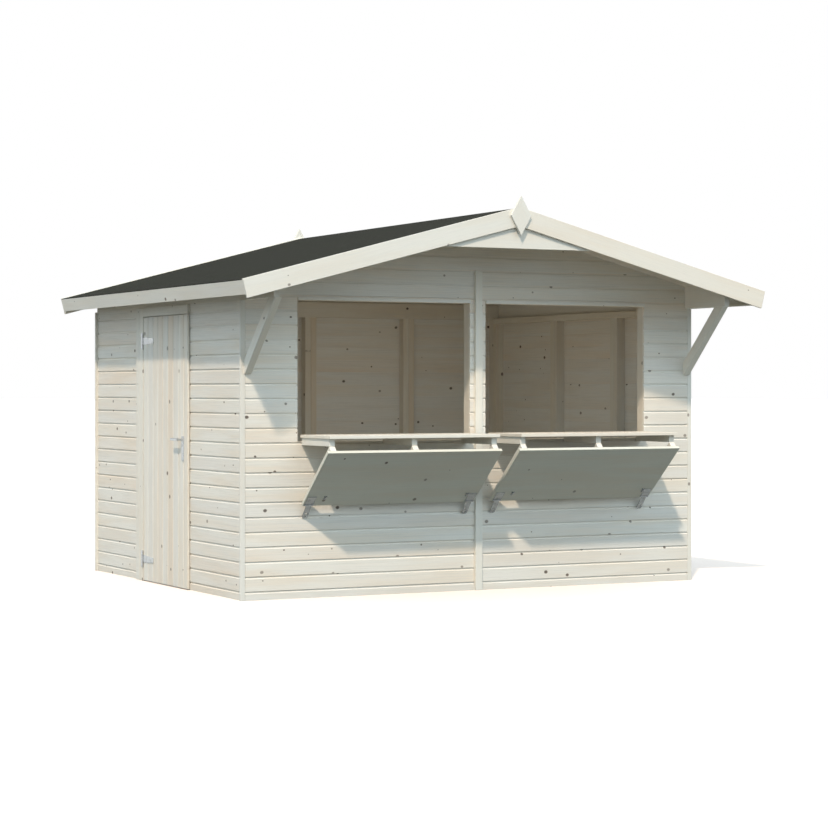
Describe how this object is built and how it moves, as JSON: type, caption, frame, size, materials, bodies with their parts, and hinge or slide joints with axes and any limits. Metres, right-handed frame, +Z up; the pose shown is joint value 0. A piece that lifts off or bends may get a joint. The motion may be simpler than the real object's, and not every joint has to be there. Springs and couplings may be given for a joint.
{
  "type": "wooden market hut",
  "caption": "Whitewashed timber market hut with a shallow gabled felt roof, two open serving hatches with folded-down counters, and a boarded side door on T hinges.",
  "frame": {"origin": "on the ground, under the centre of the roof's plan", "axes": "+X to the right seen from the serving side, +Y to the back, +Z up"},
  "size_m": [3.95, 3.496, 2.6319],
  "materials": {
    "cladding": "whitewashed, satin",
    "trim": "whitewashed, satin",
    "framing": "planed, untreated",
    "roof_boards": "planed, untreated",
    "roof_felt": "mineral-faced bitumen felt, matt",
    "galvanised_steel": "galvanised"
  },
  "bodies": {
    "hut": {"back_rails": "framing", "back_studs": "framing", "back_wall": "cladding", "braces": "trim", "centre_batten": "trim", "corner_strips": "trim", "counter_bearers": "trim", "counters": "cladding", "door_header": "trim", "door_hinge_plates": "galvanised_steel", "door_side_strips": "trim", "eave_beams": "trim", "fascias": "trim", "finials": "trim", "flap_battens": "trim", "flap_latches": "galvanised_steel", "flaps": "cladding", "front_bargeboard_left": "trim", "front_bargeboard_right": "trim", "front_gable": "cladding", "front_rails": "framing", "front_studs": "framing", "front_wall_left": "cladding", "front_wall_right": "cladding", "gable_gusset": "trim", "gable_rafters": "framing", "left_rails": "framing", "left_studs": "framing", "left_wall_front": "cladding", "left_wall_over_door": "cladding", "left_wall_rear": "cladding", "rear_bargeboard_left": "trim", "rear_bargeboard_right": "trim", "ridge_beam": "framing", "right_rails": "framing", "right_studs": "framing", "right_wall": "cladding", "roof_deck_left": "roof_boards", "roof_deck_right": "roof_boards", "roof_felt_left": "roof_felt", "roof_felt_right": "roof_felt", "window_head_strips": "trim"},
    "door": {"door_handles": "galvanised_steel", "door_hinge_straps": "galvanised_steel", "door_leaf": "cladding", "door_ledges": "framing"}
  },
  "joints": [
    {"name": "door_hinge", "type": "hinge", "parent": "hut", "child": "door", "pos_m": [-1.756, 0.5875, 0.9], "axis": [0, 0, -1], "range_deg": [0, 170]}
  ]
}
